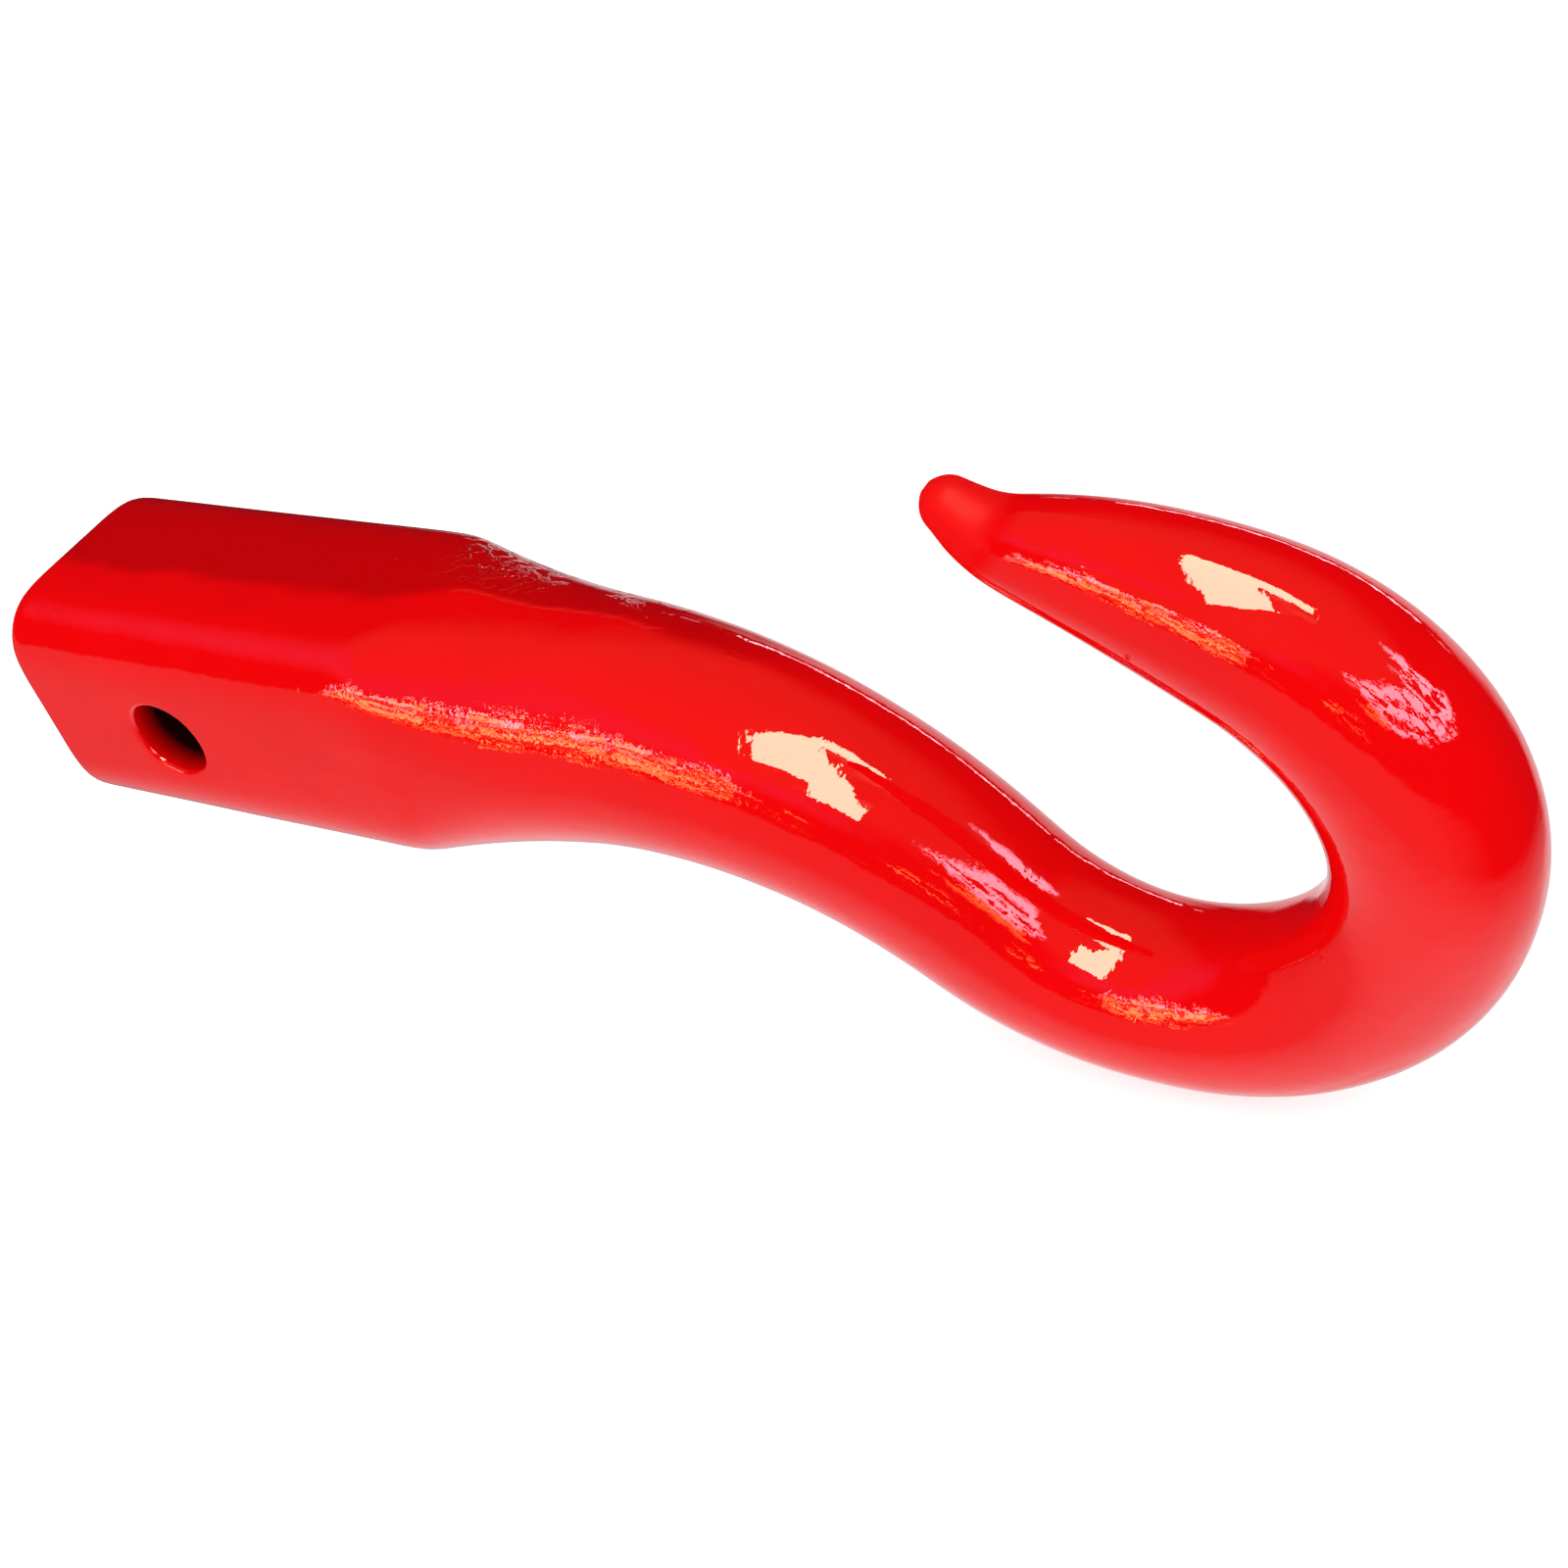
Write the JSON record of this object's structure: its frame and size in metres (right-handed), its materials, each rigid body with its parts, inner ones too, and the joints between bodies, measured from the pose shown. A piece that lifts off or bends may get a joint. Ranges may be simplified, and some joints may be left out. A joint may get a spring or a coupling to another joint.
{
  "type": "recovery tow hook",
  "caption": "Recovery tow hook with a square shank that slides into a receiver and is held by a cross pin; the shank runs out into a round open hook with an upturned tip.",
  "frame": {"origin": "centre of the cross pin hole in the shank", "axes": "+X along the shank towards the hook, +Y along the pin hole, +Z towards the side where the hook opens"},
  "size_m": [0.2886, 0.05, 0.1179],
  "materials": {
    "red_paint": "gloss"
  },
  "bodies": {
    "root": {"tow_hook": "red_paint"}
  },
  "joints": []
}
